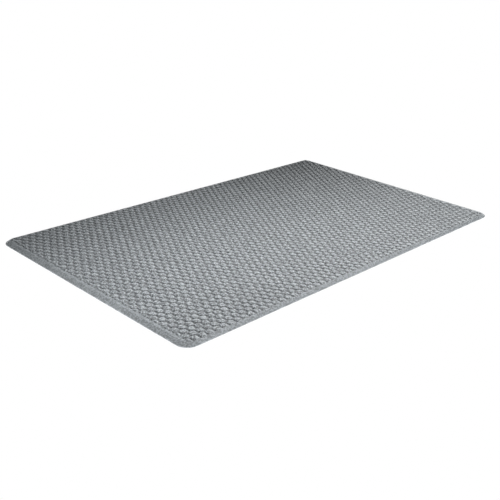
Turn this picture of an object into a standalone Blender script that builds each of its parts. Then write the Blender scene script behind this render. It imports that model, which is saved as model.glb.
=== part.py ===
"""Anti-fatigue mat: an embossed vinyl wear sheet wrapped over a foam core, on a thin grip backing.

Metres, +Z up. The origin is on the floor under the middle of the mat, +X runs along its long side and
+Y along its short side. The three layers are bonded face to face when the mat is made; each bond line is
kept here as a hairline gap, so that every layer stays a solid of its own.
"""

import math

import bmesh
import bpy

# Overall size
LENGTH = 1.500
WIDTH = 0.910
THICKNESS = 0.0125
CORNER_RADIUS = 0.038
CORNER_SEGMENTS = 12

# The rim: a low upright lip, a straight ramp that no toe catches on, and a flat land inside it
LIP_HEIGHT = 0.0025
RAMP_RUN = 0.014
RIM_HEIGHT = 0.010
LAND_END = 0.018
FIELD_EDGE_RUN = 0.002

# How the layers stack up
BOND_GAP = 0.0003
BACKING_THICKNESS = 0.0010
HEM_WIDTH = 0.0027
RAMP_SKIN = 0.0015
WEB_UNDERSIDE = 0.0065

# How far a cutter runs past the face it opens
CUT_MARGIN = 0.001

MAT_COLLECTION = "anti_fatigue_mat"
CUTTER_COLLECTION = "cutters"

ramp_angle = math.atan2(RIM_HEIGHT - LIP_HEIGHT, RAMP_RUN)


def ramp_height(inset, depth):
    """Height at this inset of the line that runs parallel to the ramp, at this depth under its surface."""
    return LIP_HEIGHT + inset * math.tan(ramp_angle) - depth / math.cos(ramp_angle)


def ramp_inset(height, depth):
    """Inset at which that line reaches this height."""
    return (height - LIP_HEIGHT + depth / math.cos(ramp_angle)) / math.tan(ramp_angle)


def clear_scene():
    for obj in list(bpy.data.objects):
        bpy.data.objects.remove(obj, do_unlink=True)


def make_collection(name):
    collection = bpy.data.collections.new(name)
    bpy.context.scene.collection.children.link(collection)
    return collection


def make_material(name, color, roughness):
    material = bpy.data.materials.new(name)
    material.use_nodes = True
    shader = material.node_tree.nodes["Principled BSDF"]
    shader.inputs["Base Color"].default_value = (*color, 1.0)
    shader.inputs["Roughness"].default_value = roughness
    shader.inputs["Metallic"].default_value = 0.0
    return material


def rounded_slab(name, bottom, steps, collection):
    """A slab with rounded corners that stands on the height `bottom`.

    Its side is upright to the first (inset, height) of steps, and climbs inwards through the others.
    Insets are measured from the mat's outer edge.
    """
    inset, height = steps[0]
    bm = bmesh.new()
    bmesh.ops.create_cube(bm, size=1.0)
    bmesh.ops.scale(bm, vec=(LENGTH - 2 * inset, WIDTH - 2 * inset, height - bottom), verts=bm.verts)
    bmesh.ops.translate(bm, vec=(0.0, 0.0, (height + bottom) / 2), verts=bm.verts)
    upright_edges = [e for e in bm.edges if abs(e.verts[0].co.z - e.verts[1].co.z) > (height - bottom) / 2]
    bmesh.ops.bevel(
        bm,
        geom=upright_edges,
        offset=CORNER_RADIUS - inset,
        segments=CORNER_SEGMENTS,
        profile=0.5,
        affect="EDGES",
    )
    for next_inset, next_height in steps[1:]:
        bm.normal_update()
        top = max((f for f in bm.faces if f.normal.z > 0.99), key=lambda f: f.calc_area())
        bmesh.ops.inset_region(
            bm,
            faces=[top],
            thickness=next_inset - inset,
            depth=next_height - height,
            use_even_offset=True,
        )
        inset, height = next_inset, next_height
    mesh = bpy.data.meshes.new(name)
    bm.to_mesh(mesh)
    bm.free()
    obj = bpy.data.objects.new(name, mesh)
    collection.objects.link(obj)
    return obj


def cut_out(obj, cutter):
    """Takes the cutter's shape out of obj, and keeps the cutter as a wire outline."""
    cutter.hide_render = True
    cutter.display_type = "WIRE"
    boolean = obj.modifiers.new("cavity", "BOOLEAN")
    boolean.operation = "DIFFERENCE"
    boolean.solver = "EXACT"
    boolean.object = cutter


def make_wear_layer(mat, cutters):
    """The vinyl sheet: dome field, land, ramp and lip in one moulding, with a hem that reaches the floor.

    The field is the flat envelope of its domes' tops. Underneath, the sheet is open, and hollow where the
    core and the backing sit.
    """
    wear_layer = rounded_slab(
        "wear_layer",
        0.0,
        [
            (0.0, LIP_HEIGHT),
            (RAMP_RUN, RIM_HEIGHT),
            (LAND_END, RIM_HEIGHT),
            (LAND_END + FIELD_EDGE_RUN, THICKNESS),
        ],
        mat,
    )
    cavity = rounded_slab(
        "core_cavity",
        -CUT_MARGIN,
        [
            (HEM_WIDTH, ramp_height(HEM_WIDTH, RAMP_SKIN)),
            (ramp_inset(WEB_UNDERSIDE, RAMP_SKIN), WEB_UNDERSIDE),
        ],
        cutters,
    )
    cut_out(wear_layer, cavity)
    wear_layer.data.materials.append(make_material("wear_vinyl", (0.30, 0.315, 0.325), 0.62))


def make_foam_core(mat):
    """The cushion: a closed-cell foam slab with ramped edges, which fills the sheet's hollow."""
    core_inset = HEM_WIDTH + BOND_GAP
    core_top = WEB_UNDERSIDE - BOND_GAP
    skin_and_bond = RAMP_SKIN + BOND_GAP
    foam_core = rounded_slab(
        "foam_core",
        BACKING_THICKNESS + BOND_GAP,
        [
            (core_inset, ramp_height(core_inset, skin_and_bond)),
            (ramp_inset(core_top, skin_and_bond), core_top),
        ],
        mat,
    )
    foam_core.data.materials.append(make_material("cushion_foam", (0.13, 0.135, 0.14), 0.9))


def make_grip_backing(mat):
    """The non-slip sheet under the core, flush with the hem's underside."""
    grip_backing = rounded_slab("grip_backing", 0.0, [(HEM_WIDTH + BOND_GAP, BACKING_THICKNESS)], mat)
    grip_backing.data.materials.append(make_material("backing_grip", (0.07, 0.073, 0.078), 0.8))


def main():
    clear_scene()
    mat = make_collection(MAT_COLLECTION)
    cutters = make_collection(CUTTER_COLLECTION)
    make_wear_layer(mat, cutters)
    make_foam_core(mat)
    make_grip_backing(mat)


main()
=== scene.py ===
"""Looks of the anti-fatigue mat: its domed wear sheet with the rim, the foam core and the grip backing.

Metres, +Z up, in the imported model's frame: the origin is on the floor under the middle of the mat, +X runs
along its long side and +Y along its short side.
"""

import math

import bpy
import numpy as np
from mathutils import Matrix, Vector
from mathutils.geometry import delaunay_2d_cdt


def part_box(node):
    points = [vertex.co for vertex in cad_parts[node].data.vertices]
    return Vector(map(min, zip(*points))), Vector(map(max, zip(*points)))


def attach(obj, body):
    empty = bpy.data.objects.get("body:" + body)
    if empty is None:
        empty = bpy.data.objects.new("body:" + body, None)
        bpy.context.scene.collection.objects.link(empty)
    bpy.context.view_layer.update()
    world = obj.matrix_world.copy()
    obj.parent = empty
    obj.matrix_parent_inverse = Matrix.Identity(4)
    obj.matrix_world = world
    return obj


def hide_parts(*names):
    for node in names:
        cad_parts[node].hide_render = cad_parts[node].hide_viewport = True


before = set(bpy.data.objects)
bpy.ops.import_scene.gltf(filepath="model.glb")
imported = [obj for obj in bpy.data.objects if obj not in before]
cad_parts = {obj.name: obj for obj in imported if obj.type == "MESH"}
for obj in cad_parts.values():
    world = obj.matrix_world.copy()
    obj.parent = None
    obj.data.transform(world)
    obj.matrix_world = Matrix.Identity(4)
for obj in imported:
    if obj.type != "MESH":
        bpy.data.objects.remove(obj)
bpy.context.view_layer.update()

# ---------------------------------------------------------------------------------------------------------
# Sizes
# ---------------------------------------------------------------------------------------------------------
MAT_LOW, MAT_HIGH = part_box("wear_layer")
CORE_LOW, CORE_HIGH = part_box("foam_core")
BACKING_LOW, BACKING_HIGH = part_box("grip_backing")
HALF_LENGTH = (MAT_HIGH.x - MAT_LOW.x) / 2
HALF_WIDTH = (MAT_HIGH.y - MAT_LOW.y) / 2
DOME_TOP = MAT_HIGH.z
CORNER_RADIUS = 0.038

# Rim: the lip's height, the ramp up to the shoulder where the land begins, and how far each bend is rounded
LIP_HEIGHT = 0.0025
LIP_ROUNDING = 0.0010
RAMP_RUN = 0.014
RIM_HEIGHT = 0.010
SHOULDER_ROUNDING = 0.0008
HEM_ROUNDING = 0.0004

# How much of its run the ramp takes up along the long sides, where it is steeper, and along the short sides
LONG_SIDE_SHARE = 0.73
SHORT_SIDE_SHARE = 1.05

# The dome field's edge, measured from the mat's long and short sides
FIELD_INSET_LONG_SIDE = 0.0109
FIELD_INSET_SHORT_SIDE = 0.0232
FIELD_CORNER_RADIUS = 0.016
FIELD_WALL = 0.0022

# Domes, in staggered rows along the long side. Even rows have a dome on the mat's centre line.
DOME_PITCH = 0.02503
ROW_PITCH = 0.02162
LAST_ROW = 20
LAST_COLUMN = 29
DOME_RADIUS = 0.0123
DOME_HEIGHT = 0.0046
DOME_FLATNESS = 4.8
DOME_FLANK = 0.74
VALLEY_ROUNDING = 0.0014
NORMAL_STEP = 0.0002

# Rings of points that resolve a dome: radius, number of points, angle of the first in degrees
DOME_RINGS = ((0.0, 1, 0), (0.0064, 6, 0), (0.0095, 12, 15), (0.0117, 12, 0))
FIELD_POINT_CLEARANCE = 0.0007

# Painted shade in the pits between the domes: how far under the domes' tops it starts, and where it is full
PIT_SHADE_START = 0.0024
PIT_SHADE_RUN = 0.0012
PIT_SHADE_COLOR = (0.100, 0.108, 0.113)

# The vinyl's colours, the painted shade in the grain's hollows, how much of the grain and that shade the
# smoother rim shows, how coarse they are (features per metre), and the height setting of the grain's bumps
DARK_VINYL = (0.341, 0.367, 0.384)
PALE_VINYL = (0.361, 0.389, 0.407)
# Painted shade: this dark colour goes where the grain's bumps are low, in their hollows
GRAIN_SHADE_COLOR = (0.122, 0.132, 0.139)
RIM_GRAIN_SHARE = 0.6
GRAIN_SHADE_SCALE = 190.0
PEBBLE_SCALE = 190.0
PEBBLE_HEIGHT = 0.0030

# The sheet's underside, and the layers in its hollow
HEM_WIDTH = 0.0027
RAMP_SKIN = 0.0015
WEB_UNDERSIDE = 0.0065
BOND_GAP = 0.0003
CORE_EDGE_ROUNDING = 0.0005
GRIP_PITCH = 0.0180
GRIP_DIMPLE_RADIUS = 0.0060
GRIP_DIMPLE_DEPTH = 0.0004
GRIP_DIMPLE_WALL = 0.0015
GRIP_DIMPLE_POINTS = 8
GRIP_ROW_PITCH = GRIP_PITCH * math.sqrt(3) / 2
BACKING_EDGE_ROUNDING = 0.0002

# How far in from the backing's edge its dimples' centres and their points start, and its plain edge's width
GRIP_CENTRE_CLEARANCE = 0.008
GRIP_POINT_CLEARANCE = 0.001
PLAIN_EDGE_WIDTH = 0.003

# Points round an outline, its smallest corner radius, and an inset well inside the mat, which a section's
# level runs point towards
RIM_POINT_SPACING = 0.0085
CORNER_STEPS = 9
SMALLEST_RADIUS = 0.002
FAR_INSET = 0.1


# ---------------------------------------------------------------------------------------------------------
# The sheet's top as a height over any point in plan
# ---------------------------------------------------------------------------------------------------------
def inset_from_outline(x, y, half_x, half_y, radius):
    """How far points lie inside a rounded rectangle centred on the origin, below 0 outside it."""
    past_x = np.abs(x) - (half_x - radius)
    past_y = np.abs(y) - (half_y - radius)
    beyond = np.hypot(np.maximum(past_x, 0), np.maximum(past_y, 0))
    within = np.minimum(np.maximum(past_x, past_y), 0)
    return radius - beyond - within


def mat_inset(x, y):
    return inset_from_outline(x, y, HALF_LENGTH, HALF_WIDTH, CORNER_RADIUS)


def field_inset(x, y):
    half_x = HALF_LENGTH - FIELD_INSET_SHORT_SIDE
    half_y = HALF_WIDTH - FIELD_INSET_LONG_SIDE
    return inset_from_outline(x, y, half_x, half_y, FIELD_CORNER_RADIUS)


def smooth_max(a, b, rounding):
    overlap = np.maximum(rounding - np.abs(a - b), 0) / rounding
    return np.maximum(a, b) + overlap**2 * rounding / 4


def dome_height(distance):
    """Height of one dome over the pits' floor, at this distance from its axis."""
    share = np.minimum(distance / DOME_RADIUS, 1)
    return DOME_HEIGHT * (1 - share**DOME_FLATNESS) ** DOME_FLANK


def field_height(x, y):
    """Height of the dome field: the domes nearest to each point, with rounded valleys between them."""
    height = np.zeros_like(x)
    for row_step in (-1, 0, 1):
        row = np.clip(np.round(y / ROW_PITCH) + row_step, -LAST_ROW, LAST_ROW)
        stagger = (row % 2) / 2
        first_column = np.floor(x / DOME_PITCH - stagger) + stagger
        for column_step in (0, 1):
            last_column = LAST_COLUMN - stagger
            column = np.clip(first_column + column_step, -last_column, last_column)
            distance = np.hypot(x - column * DOME_PITCH, y - row * ROW_PITCH)
            height = smooth_max(height, dome_height(distance), VALLEY_ROUNDING)
    return DOME_TOP - DOME_HEIGHT + np.minimum(height, DOME_HEIGHT)


def top_height(x, y):
    """The dome field, with a short steep wall up to the land at its edge."""
    wall = np.clip(field_inset(x, y) / FIELD_WALL, 0, 1)
    wall = wall * wall * (3 - 2 * wall)
    return (1 - wall) * RIM_HEIGHT + wall * field_height(x, y)


def ramp_height(inset, depth):
    """Height at this inset of the line that runs parallel to the ramp, at this depth under its surface."""
    angle = math.atan2(RIM_HEIGHT - LIP_HEIGHT, RAMP_RUN)
    return LIP_HEIGHT + inset * math.tan(angle) - depth / math.cos(angle)


def ramp_inset(height, depth):
    """Inset at which that line reaches this height."""
    angle = math.atan2(RIM_HEIGHT - LIP_HEIGHT, RAMP_RUN)
    return (height - LIP_HEIGHT + depth / math.cos(angle)) / math.tan(angle)


# ---------------------------------------------------------------------------------------------------------
# Mesh building
# ---------------------------------------------------------------------------------------------------------
def outline(half_x, half_y, radius):
    """Points anticlockwise round a rounded rectangle. Every outline has as many, so that two join up."""
    arcs = []
    for corner, (sign_x, sign_y) in enumerate(((1, -1), (1, 1), (-1, 1), (-1, -1))):
        centre = np.array([sign_x * (half_x - radius), sign_y * (half_y - radius)])
        angles = np.radians(90 * (corner - 1) + np.linspace(0, 90, CORNER_STEPS + 1))
        arcs.append(centre + radius * np.column_stack([np.cos(angles), np.sin(angles)]))
    side_steps = [round(2 * half / RIM_POINT_SPACING) for half in (HALF_WIDTH, HALF_LENGTH)] * 2
    points = []
    for corner, steps in enumerate(side_steps):
        start, end = arcs[corner][-1], arcs[(corner + 1) % 4][0]
        shares = np.arange(1, steps)[:, None] / steps
        points += [arcs[corner], start + (end - start) * shares]
    return np.vstack(points)


def mat_outline(inset, short_side_share=1.0, long_side_share=1.0):
    """The mat's outline, drawn in by this much, or by these shares of it at its sides."""
    radius = max(CORNER_RADIUS - inset, SMALLEST_RADIUS)
    half_x = HALF_LENGTH - inset * short_side_share
    half_y = HALF_WIDTH - inset * long_side_share
    return outline(half_x, half_y, radius)


def field_outline(inset):
    """The dome field's outline, drawn in by this much."""
    half_x = HALF_LENGTH - FIELD_INSET_SHORT_SIDE - inset
    half_y = HALF_WIDTH - FIELD_INSET_LONG_SIDE - inset
    return outline(half_x, half_y, FIELD_CORNER_RADIUS - inset)


def bend(corner, before, after, rounding, steps):
    """(inset, height) points that round off the corner between two straight runs of a section."""
    corner, before, after = np.array(corner), np.array(before), np.array(after)
    start = corner + (before - corner) / np.linalg.norm(before - corner) * rounding
    end = corner + (after - corner) / np.linalg.norm(after - corner) * rounding
    share = np.linspace(0, 1, steps)[:, None]
    return (1 - share) ** 2 * start + 2 * share * (1 - share) * corner + share**2 * end


def with_height(points, height):
    return np.column_stack([points, np.full(len(points), height)])


def loop_faces(first, second, count):
    """Quads between two loops of vertices that start at these indices."""
    faces = []
    for i in range(count):
        j = (i + 1) % count
        faces.append((first + i, first + j, second + j, second + i))
    return faces


def fill_loop(loop, inner_points):
    """Vertices and triangles that fill a loop of points in plan, through the inner points as well."""
    points = [Vector(p) for p in np.vstack([loop, inner_points])]
    count = len(loop)
    edges = [(i, (i + 1) % count) for i in range(count)]
    verts, _, faces, _, _, _ = delaunay_2d_cdt(points, edges, [], 1, 1e-7, False)
    return np.array([tuple(v) for v in verts]), faces


def closed_mesh(name, loops, cap_top, cap_bottom):
    """A closed mesh: a skin through loops of points, first to last, with a cap on the first and the last.

    A cap is (inner points in plan, function that gives their heights). The first loop is the top's.
    """
    count = len(loops[0])
    verts = [np.vstack(loops)]
    faces = []
    for k in range(len(loops) - 1):
        faces += loop_faces((k + 1) * count, k * count, count)
    for loop_number, (inner, height), upwards in (
        (0, cap_top, True),
        (len(loops) - 1, cap_bottom, False),
    ):
        plan, triangles = fill_loop(loops[loop_number][:, :2], inner)
        if np.abs(plan[:count] - loops[loop_number][:, :2]).max() > 1e-6:
            raise RuntimeError(f"{name}: the cap's rim isn't its loop")
        extra = plan[count:]
        offset = sum(len(v) for v in verts) - count
        base = loop_number * count
        verts.append(np.column_stack([extra, height(extra[:, 0], extra[:, 1])]))
        for triangle in triangles:
            face = [base + i if i < count else offset + i for i in triangle]
            faces.append(face if upwards else face[::-1])
    mesh = bpy.data.meshes.new(name)
    mesh.from_pydata(np.vstack(verts).tolist(), [], faces)
    mesh.validate()
    mesh.shade_smooth()
    obj = bpy.data.objects.new(name, mesh)
    bpy.context.scene.collection.objects.link(obj)
    return obj


def lattice(pitch_x, pitch_y, half_x, half_y):
    """Centres of staggered rows that cover a rectangle."""
    rows = math.ceil(half_y / pitch_y)
    columns = math.ceil(half_x / pitch_x) + 1
    centres = []
    for row in range(-rows, rows + 1):
        for column in range(-columns, columns + 1):
            centres.append(((column + (row % 2) / 2) * pitch_x, row * pitch_y))
    return np.array(centres)


def dome_points():
    """Points in plan that resolve each dome, the saddles to its neighbours and the pits between them."""
    offsets = []
    for radius, count, first_angle in DOME_RINGS:
        angles = np.radians(first_angle + 360 / count * np.arange(count))
        offsets.append(radius * np.column_stack([np.cos(angles), np.sin(angles)]))
    saddles_and_pits = [(0.5, 0), (0.25, 0.5), (-0.25, 0.5), (0, 2 / 3), (0.5, 1 / 3)]
    offsets.append(np.array([(x * DOME_PITCH, y * ROW_PITCH) for x, y in saddles_and_pits]))
    offsets = np.vstack(offsets)
    centres = lattice(DOME_PITCH, ROW_PITCH, HALF_LENGTH, HALF_WIDTH)
    return (centres[:, None, :] + offsets[None]).reshape(-1, 2)


def set_field_normals(mesh):
    """Gives the dome field the normals of its true curved surface."""
    points = np.array([vertex.co for vertex in mesh.vertices])
    normals = np.array([tuple(normal.vector) for normal in mesh.vertex_normals])
    x, y, z = points.T
    step = NORMAL_STEP
    slope_x = (top_height(x + step, y) - top_height(x - step, y)) / (2 * step)
    slope_y = (top_height(x, y + step) - top_height(x, y - step)) / (2 * step)
    true_normals = np.column_stack([-slope_x, -slope_y, np.ones_like(x)])
    true_normals /= np.linalg.norm(true_normals, axis=1)[:, None]
    in_field = (field_inset(x, y) > FIELD_WALL) & (z > WEB_UNDERSIDE + NORMAL_STEP)
    normals[in_field] = true_normals[in_field]
    mesh.normals_split_custom_set_from_vertices(normals.tolist())


def mark_field(mesh):
    """Stores two marks for the material on each vertex.

    field_share runs from 0 on the rim to 1 inside the dome field. pit_depth runs from 0 on the domes' tops
    and their upper flanks to 1 in the pits, and sets where the material paints shade into the pits.
    """
    points = np.array([vertex.co for vertex in mesh.vertices])
    field_share = np.clip(field_inset(points[:, 0], points[:, 1]) / FIELD_WALL, 0, 1)
    depth = np.clip((DOME_TOP - points[:, 2] - PIT_SHADE_START) / PIT_SHADE_RUN, 0, 1)
    for name, values in (("field_share", field_share), ("pit_depth", depth * (field_share > 0))):
        attribute = mesh.attributes.new(name, "FLOAT", "POINT")
        attribute.data.foreach_set("value", values.astype(np.float32))


def make_wear_layer():
    """The vinyl sheet as one closed skin: dome field, land, ramp, lip and hem, and the hollow underneath."""
    plan = dome_points()
    wall = np.vstack([field_outline(FIELD_WALL * share) for share in (0.34, 0.67, 1.0)])
    inset = field_inset(plan[:, 0], plan[:, 1])
    plan = plan[inset > FIELD_WALL + FIELD_POINT_CLEARANCE]
    inner = np.vstack([wall, plan])

    lip, shoulder = (0.0, LIP_HEIGHT), (RAMP_RUN, RIM_HEIGHT)
    ramp = np.vstack(
        [
            bend(shoulder, (FAR_INSET, RIM_HEIGHT), lip, SHOULDER_ROUNDING, 5),
            bend(lip, shoulder, (0.0, 0.0), LIP_ROUNDING, 4),
        ]
    )
    hem = np.vstack(
        [
            bend((0.0, 0.0), lip, (HEM_WIDTH, 0.0), HEM_ROUNDING, 4),
            [(HEM_WIDTH, 0.0)],
            [(HEM_WIDTH, ramp_height(HEM_WIDTH, RAMP_SKIN))],
            [(ramp_inset(WEB_UNDERSIDE, RAMP_SKIN), WEB_UNDERSIDE)],
        ]
    )
    loops = [with_height(field_outline(0), RIM_HEIGHT)]
    for inset, height in ramp:
        loops.append(with_height(mat_outline(inset, SHORT_SIDE_SHARE, LONG_SIDE_SHARE), height))
    loops += [with_height(mat_outline(inset), height) for inset, height in hem]
    ceiling = np.zeros((0, 2))
    sheet = closed_mesh(
        "wear_layer_sheet",
        loops,
        (inner, top_height),
        (ceiling, lambda x, y: np.full_like(x, WEB_UNDERSIDE)),
    )
    mark_field(sheet.data)
    set_field_normals(sheet.data)
    return sheet


def make_foam_core():
    """The cushion: a soft closed-cell slab with ramped, slightly rounded edges."""
    inset = MAT_HIGH.x - CORE_HIGH.x
    bottom, top = CORE_LOW.z, CORE_HIGH.z
    skin_and_bond = RAMP_SKIN + BOND_GAP
    waist = (inset, ramp_height(inset, skin_and_bond))
    brow = (ramp_inset(top, skin_and_bond), top)
    section = np.vstack(
        [
            bend(brow, (FAR_INSET, top), waist, CORE_EDGE_ROUNDING, 4),
            bend(waist, brow, (inset, bottom), CORE_EDGE_ROUNDING / 2, 3),
            bend((inset, bottom), waist, (FAR_INSET, bottom), CORE_EDGE_ROUNDING / 2, 3),
        ]
    )
    loops = [with_height(mat_outline(inset), height) for inset, height in section]
    return closed_mesh(
        "foam_core_slab",
        loops,
        (np.zeros((0, 2)), lambda x, y: np.full_like(x, top)),
        (np.zeros((0, 2)), lambda x, y: np.full_like(x, bottom)),
    )


def grip_dimple(x, y):
    """Depth of the backing's round dimples, over the floor."""
    depth = np.zeros_like(x)
    for row_step in (-1, 0, 1):
        row = np.round(y / GRIP_ROW_PITCH) + row_step
        stagger = (row % 2) / 2
        column = np.round(x / GRIP_PITCH - stagger) + stagger
        distance = np.hypot(x - column * GRIP_PITCH, y - row * GRIP_ROW_PITCH)
        share = np.clip((GRIP_DIMPLE_RADIUS - distance) / GRIP_DIMPLE_WALL, 0, 1)
        depth = np.maximum(depth, share * share * (3 - 2 * share))
    return depth * GRIP_DIMPLE_DEPTH


def make_grip_backing():
    """The thin non-slip sheet, with shallow round dimples in its underside."""
    inset = MAT_HIGH.x - BACKING_HIGH.x
    top = BACKING_HIGH.z
    section = np.vstack(
        [
            bend((inset, top), (FAR_INSET, top), (inset, 0.0), BACKING_EDGE_ROUNDING, 3),
            bend((inset, 0.0), (inset, top), (FAR_INSET, 0.0), BACKING_EDGE_ROUNDING, 3),
        ]
    )
    loops = [with_height(mat_outline(section_inset), height) for section_inset, height in section]
    centres = lattice(GRIP_PITCH, GRIP_ROW_PITCH, HALF_LENGTH, HALF_WIDTH)
    offsets = []
    for radius in (GRIP_DIMPLE_RADIUS - GRIP_DIMPLE_WALL, GRIP_DIMPLE_RADIUS):
        angles = np.radians(360 / GRIP_DIMPLE_POINTS * np.arange(GRIP_DIMPLE_POINTS))
        offsets.append(radius * np.column_stack([np.cos(angles), np.sin(angles)]))
    plan = (centres[:, None, :] + np.vstack(offsets)[None]).reshape(-1, 2)
    whole_dimple = np.repeat(mat_inset(*centres.T) > inset + GRIP_CENTRE_CLEARANCE, 2 * GRIP_DIMPLE_POINTS)
    keep = whole_dimple & (mat_inset(*plan.T) > inset + GRIP_POINT_CLEARANCE)

    def underside(x, y):
        return np.where(mat_inset(x, y) > inset + PLAIN_EDGE_WIDTH, grip_dimple(x, y), 0.0)

    return closed_mesh(
        "grip_backing_sheet",
        loops,
        (np.zeros((0, 2)), lambda x, y: np.full_like(x, top)),
        (plan[keep], underside),
    )


# ---------------------------------------------------------------------------------------------------------
# Materials
# ---------------------------------------------------------------------------------------------------------
class Nodes:
    """A short way to write a material's nodes."""

    def __init__(self, name):
        self.material = bpy.data.materials.new(name)
        self.material.use_nodes = True
        self.tree = self.material.node_tree
        self.shader = self.tree.nodes["Principled BSDF"]
        self.position = self.add("ShaderNodeTexCoord").outputs["Object"]

    def add(self, kind, **settings):
        node = self.tree.nodes.new(kind)
        for key, value in settings.items():
            setattr(node, key, value)
        return node

    def join(self, source, target):
        self.tree.links.new(source, target)

    def noise(self, scale, detail, roughness):
        node = self.add("ShaderNodeTexNoise")
        self.join(self.position, node.inputs["Vector"])
        node.inputs["Scale"].default_value = scale
        node.inputs["Detail"].default_value = detail
        node.inputs["Roughness"].default_value = roughness
        return node.outputs["Fac"]

    def cells(self, scale):
        node = self.add("ShaderNodeTexVoronoi")
        self.join(self.position, node.inputs["Vector"])
        node.inputs["Scale"].default_value = scale
        return node.outputs["Distance"]

    def ramp(self, value, from_low, from_high, to_low, to_high):
        node = self.add("ShaderNodeMapRange")
        self.join(value, node.inputs["Value"])
        node.inputs["From Min"].default_value = from_low
        node.inputs["From Max"].default_value = from_high
        node.inputs["To Min"].default_value = to_low
        node.inputs["To Max"].default_value = to_high
        return node.outputs["Result"]

    def math(self, operation, a, b):
        node = self.add("ShaderNodeMath", operation=operation)
        for socket, value in zip(node.inputs, (a, b)):
            if isinstance(value, (int, float)):
                socket.default_value = value
            else:
                self.join(value, socket)
        return node.outputs["Value"]

    def mix(self, factor, low, high):
        """A colour between two colours or colour outputs."""
        node = self.add("ShaderNodeMix", data_type="RGBA")
        self.join(factor, node.inputs["Factor"])
        for name, color in (("A", low), ("B", high)):
            socket = [s for s in node.inputs if s.name == name and s.type == "RGBA"][0]
            if isinstance(color, tuple):
                socket.default_value = (*color, 1.0)
            else:
                self.join(color, socket)
        return [s for s in node.outputs if s.type == "RGBA"][0]

    def attribute(self, name):
        return self.add("ShaderNodeAttribute", attribute_name=name).outputs["Fac"]

    def bump(self, height, distance, strength, onto=None):
        node = self.add("ShaderNodeBump")
        self.join(height, node.inputs["Height"])
        node.inputs["Distance"].default_value = distance
        node.inputs["Strength"].default_value = strength
        if onto is not None:
            self.join(onto, node.inputs["Normal"])
        return node.outputs["Normal"]


def make_wear_vinyl():
    """Matte grey vinyl: leathery pebbled grain, faint blotches, rubbed tops, and painted shade in the grain
    and pits.
    """
    m = Nodes("wear_vinyl_looks")
    blotches = m.noise(9.0, 3.0, 0.55)
    pebbles = m.noise(PEBBLE_SCALE, 3.0, 0.6)
    grain_shade = m.noise(GRAIN_SHADE_SCALE, 3.0, 0.7)
    color = m.mix(m.ramp(blotches, 0.3, 0.7, 0.0, 1.0), DARK_VINYL, PALE_VINYL)
    roughened = m.ramp(m.attribute("field_share"), 0.0, 1.0, RIM_GRAIN_SHARE, 1.0)

    # Where the painted shade in the grain's hollows fades out on the rim, its mean tone takes its place.
    grain_shaded = m.math("MULTIPLY", m.ramp(grain_shade, 0.45, 0.55, 1.0, 0.0), roughened)
    grain_shaded = m.math("ADD", grain_shaded, m.math("MULTIPLY", m.math("SUBTRACT", 1.0, roughened), 0.5))
    # Painted shade: the dark colour follows the same noise as the grain's bumps, so it lies in their
    # hollows.
    color = m.mix(grain_shaded, color, GRAIN_SHADE_COLOR)

    # Painted shade: the pits are painted darker the deeper they lie under the domes' tops.
    pit_depth = m.attribute("pit_depth")
    raised = m.ramp(pit_depth, 0.0, 1.0, 1.0, 0.0)
    color = m.mix(pit_depth, color, PIT_SHADE_COLOR)
    m.join(color, m.shader.inputs["Base Color"])

    rubbed = m.ramp(m.math("MULTIPLY", raised, blotches), 0.2, 0.7, 0.66, 0.54)
    m.join(m.math("ADD", rubbed, m.ramp(grain_shade, 0.3, 0.7, -0.05, 0.05)), m.shader.inputs["Roughness"])
    m.shader.inputs["Specular IOR Level"].default_value = 0.4

    grain = m.bump(m.math("MULTIPLY", pebbles, roughened), PEBBLE_HEIGHT, 1.0)
    grain = m.bump(m.noise(1300.0, 2.0, 0.6), 0.00008, 0.5, onto=grain)
    m.join(grain, m.shader.inputs["Normal"])
    return m.material


def make_foam():
    """Dark closed-cell foam: fine pores, with painted shade in them, and a few larger ones."""
    m = Nodes("cushion_foam_looks")
    pores = m.cells(1400.0)
    big_pores = m.cells(320.0)
    tone = m.noise(30.0, 3.0, 0.6)
    color = m.mix(m.ramp(tone, 0.3, 0.7, 0.0, 1.0), (0.060, 0.063, 0.066), (0.082, 0.085, 0.089))
    # Painted shade: the fine pores' centres, which the bump below sinks, are painted darker.
    color = m.mix(m.ramp(pores, 0.05, 0.45, 0.0, 1.0), (0.03, 0.031, 0.033), color)
    m.join(color, m.shader.inputs["Base Color"])
    m.join(m.ramp(pores, 0.0, 0.6, 0.95, 0.82), m.shader.inputs["Roughness"])
    normal = m.bump(pores, 0.0003, 0.7)
    m.join(m.bump(big_pores, 0.0004, 0.3, onto=normal), m.shader.inputs["Normal"])
    return m.material


def make_backing():
    """Near-black rubber with a fine tacky grain and dusty patches."""
    m = Nodes("backing_grip_looks")
    dust = m.noise(14.0, 4.0, 0.6)
    grain = m.noise(1500.0, 3.0, 0.65)
    color = m.mix(m.ramp(dust, 0.35, 0.75, 0.0, 1.0), (0.034, 0.036, 0.039), (0.055, 0.057, 0.060))
    color = m.mix(m.ramp(grain, 0.4, 0.7, 0.0, 0.25), color, (0.075, 0.078, 0.082))
    m.join(color, m.shader.inputs["Base Color"])
    m.join(m.ramp(dust, 0.3, 0.8, 0.62, 0.85), m.shader.inputs["Roughness"])
    m.join(m.bump(grain, 0.0001, 0.6), m.shader.inputs["Normal"])
    return m.material


# ---------------------------------------------------------------------------------------------------------
# The object
# ---------------------------------------------------------------------------------------------------------
def dress(piece, material, node):
    piece.data.materials.append(material)
    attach(piece, "root")
    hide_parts(node)


sheet = make_wear_layer()
dress(sheet, make_wear_vinyl(), "wear_layer")

core = make_foam_core()
dress(core, make_foam(), "foam_core")

backing = make_grip_backing()
dress(backing, make_backing(), "grip_backing")


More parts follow.
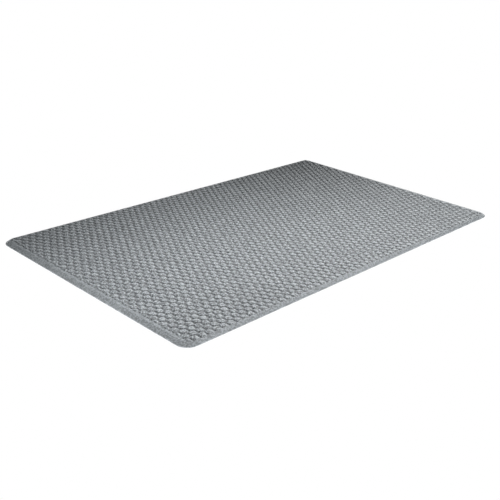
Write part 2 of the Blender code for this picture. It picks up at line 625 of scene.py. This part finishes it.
# ---------------------------------------------------------------------------------------------------------
# Floor, light and camera
# ---------------------------------------------------------------------------------------------------------
# Lamps: name, place, point it faces, size, spread in degrees, power in watts
LIGHTS = (
    ("key_softbox", (2.8, 1.0, 3.2), (-0.42, -0.42, 0), (1.4, 1.2), 34, 9.0),
    ("low_softbox", (3.6, 1.0, 2.3), (-0.25, -0.48, 0), (1.2, 1.0), 32, 4.4),
    ("overhead_left", (-0.62, -0.14, 1.5), (-0.62, -0.12, 0), (1.4, 0.6), 60, 3.3),
    ("overhead_right", (0.9, -0.46, 1.5), (0.9, -0.46, 0), (1.4, 0.6), 58, 2.5),
    ("left_fill", (-2.2, 0.0, 2.0), (0, 0, 0), (1.2, 1.2), 180, 2),
)
FLOOR_COLOR = (0.92, 0.92, 0.92, 1)
FLOOR_GLOW = 2.9
FLOOR_HALF_SIZE = 60.0
FLOOR_HEIGHT = -0.0002

# The camera's place, the ways it faces and tilts, its lens in mm, and its shift
CAMERA_LOCATION = (-1.8386, -1.7107, 0.9845)
CAMERA_FORWARD = (0.66273, 0.63773, -0.39254)
CAMERA_RIGHT = (0.70442, -0.70878, 0.03779)
CAMERA_LENS = 55.49
CAMERA_SHIFT = (-0.0012, 0.0012)


def make_floor():
    """A large pale floor that glows. The camera sees it as plain white, so that its glare eats no edges."""
    mesh = bpy.data.meshes.new("floor")
    corners = [(-1, -1), (1, -1), (1, 1), (-1, 1)]
    verts = [(x * FLOOR_HALF_SIZE, y * FLOOR_HALF_SIZE, FLOOR_HEIGHT) for x, y in corners]
    mesh.from_pydata(verts, [], [(0, 1, 2, 3)])
    floor = bpy.data.objects.new("floor", mesh)
    bpy.context.scene.collection.objects.link(floor)
    material = bpy.data.materials.new("floor_pale")
    material.use_nodes = True

    # Rays find so large a floor by themselves, so it isn't sampled as a lamp.
    material.cycles.emission_sampling = "NONE"
    tree = material.node_tree
    shader = tree.nodes["Principled BSDF"]
    shader.inputs["Base Color"].default_value = FLOOR_COLOR
    shader.inputs["Roughness"].default_value = 0.9
    shader.inputs["Specular IOR Level"].default_value = 0.0
    shader.inputs["Emission Color"].default_value = (1, 1, 1, 1)
    shader.inputs["Emission Strength"].default_value = FLOOR_GLOW
    white = tree.nodes.new("ShaderNodeEmission")
    seen = tree.nodes.new("ShaderNodeLightPath")
    mix = tree.nodes.new("ShaderNodeMixShader")
    tree.links.new(seen.outputs["Is Camera Ray"], mix.inputs["Fac"])
    tree.links.new(shader.outputs["BSDF"], mix.inputs[1])
    tree.links.new(white.outputs["Emission"], mix.inputs[2])
    tree.links.new(mix.outputs["Shader"], tree.nodes["Material Output"].inputs["Surface"])
    mesh.materials.append(material)


def make_area_light(name, location, target, size, spread, power):
    light = bpy.data.lights.new(name, "AREA")
    light.shape = "RECTANGLE"
    light.size, light.size_y = size
    light.spread = math.radians(spread)
    light.energy = power
    obj = bpy.data.objects.new(name, light)
    obj.location = location
    obj.rotation_euler = (Vector(target) - Vector(location)).to_track_quat("-Z", "Y").to_euler()
    bpy.context.scene.collection.objects.link(obj)


def make_world():
    """A backdrop that the camera sees as white, and that sheds no light on the mat."""
    world = bpy.data.worlds.new("studio")
    world.use_nodes = True
    tree = world.node_tree
    unlit = tree.nodes["Background"]
    unlit.inputs["Strength"].default_value = 0.0
    backdrop = tree.nodes.new("ShaderNodeBackground")
    backdrop.inputs["Color"].default_value = (1.0, 1.0, 1.0, 1.0)
    seen = tree.nodes.new("ShaderNodeLightPath")
    mix = tree.nodes.new("ShaderNodeMixShader")
    tree.links.new(seen.outputs["Is Camera Ray"], mix.inputs["Fac"])
    tree.links.new(unlit.outputs["Background"], mix.inputs[1])
    tree.links.new(backdrop.outputs["Background"], mix.inputs[2])
    tree.links.new(mix.outputs["Shader"], tree.nodes["World Output"].inputs["Surface"])
    bpy.context.scene.world = world


def make_camera():
    location = Vector(CAMERA_LOCATION)
    forward = Vector(CAMERA_FORWARD).normalized()
    right = Vector(CAMERA_RIGHT).normalized()
    up = right.cross(forward).normalized()
    camera = bpy.data.cameras.new("camera")
    camera.sensor_width = 36.0
    camera.lens = CAMERA_LENS
    camera.clip_end = 200.0
    camera.shift_x, camera.shift_y = CAMERA_SHIFT
    obj = bpy.data.objects.new("camera", camera)
    bpy.context.scene.collection.objects.link(obj)
    obj.matrix_world = Matrix.Translation(location) @ Matrix((right, up, -forward)).transposed().to_4x4()
    bpy.context.scene.camera = obj


make_floor()
make_world()
for light in LIGHTS:
    make_area_light(*light)
make_camera()
bpy.context.scene.view_settings.view_transform = "Standard"
bpy.context.scene.view_settings.look = "None"
